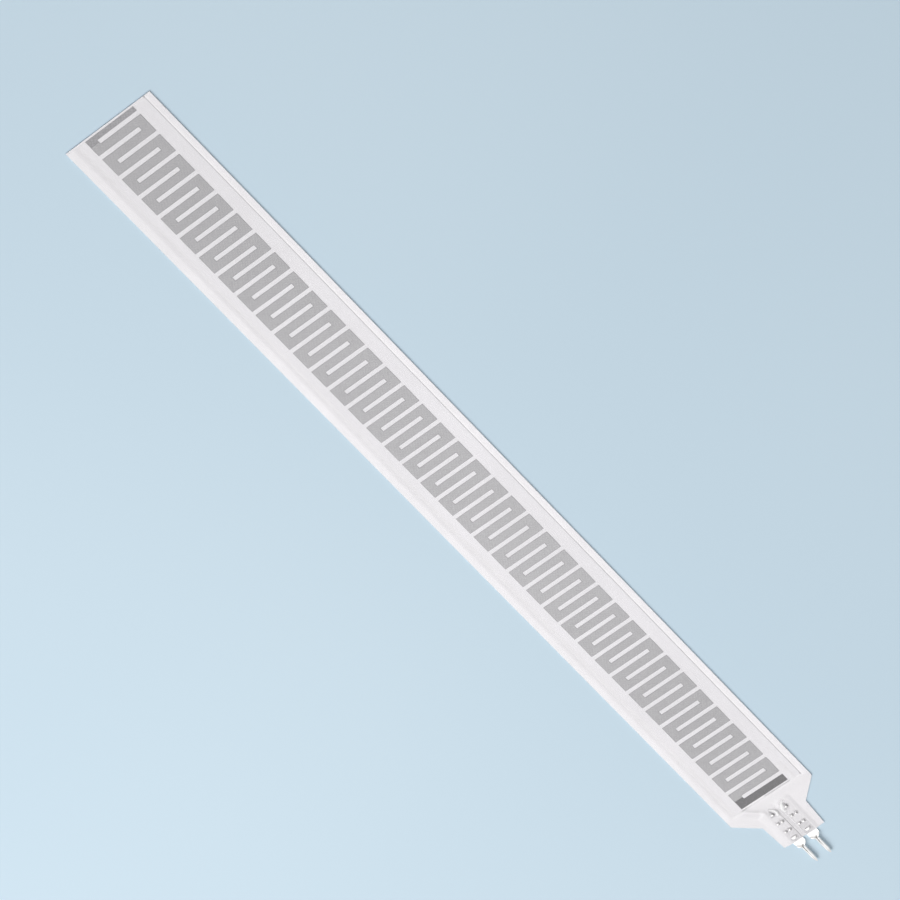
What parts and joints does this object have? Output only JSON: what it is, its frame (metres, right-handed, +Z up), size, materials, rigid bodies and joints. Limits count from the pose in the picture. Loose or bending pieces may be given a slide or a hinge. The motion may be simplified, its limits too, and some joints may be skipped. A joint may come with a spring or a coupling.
{
  "type": "force sensing resistor",
  "caption": "Long flat film strip with a printed serpentine track that changes resistance under pressure, and crimped pin terminals at a narrowed tail.",
  "frame": {"origin": "middle of the whole length and width, on the underside that lies on the table", "axes": "+X along the strip from the free end to the pin tips, +Y across it, +Z up out of the pressed face"},
  "size_m": [0.162, 0.015, 0.0007],
  "materials": {
    "white_film": "satin",
    "clear_film": "satin",
    "white_adhesive": "matte",
    "dark_resistive_ink": "matte",
    "pale_resistive_ink": "matte",
    "silver_ink": "satin",
    "tinned_metal": "bright tin"
  },
  "bodies": {
    "root": {"base_film": "white_film", "lower_force_track": "dark_resistive_ink", "lower_silver_lead": "silver_ink", "spacer_frame": "white_adhesive", "upper_force_track": "pale_resistive_ink", "upper_silver_lead": "silver_ink", "cover_film": "clear_film", "left_terminal": "tinned_metal", "right_terminal": "tinned_metal"}
  },
  "joints": []
}
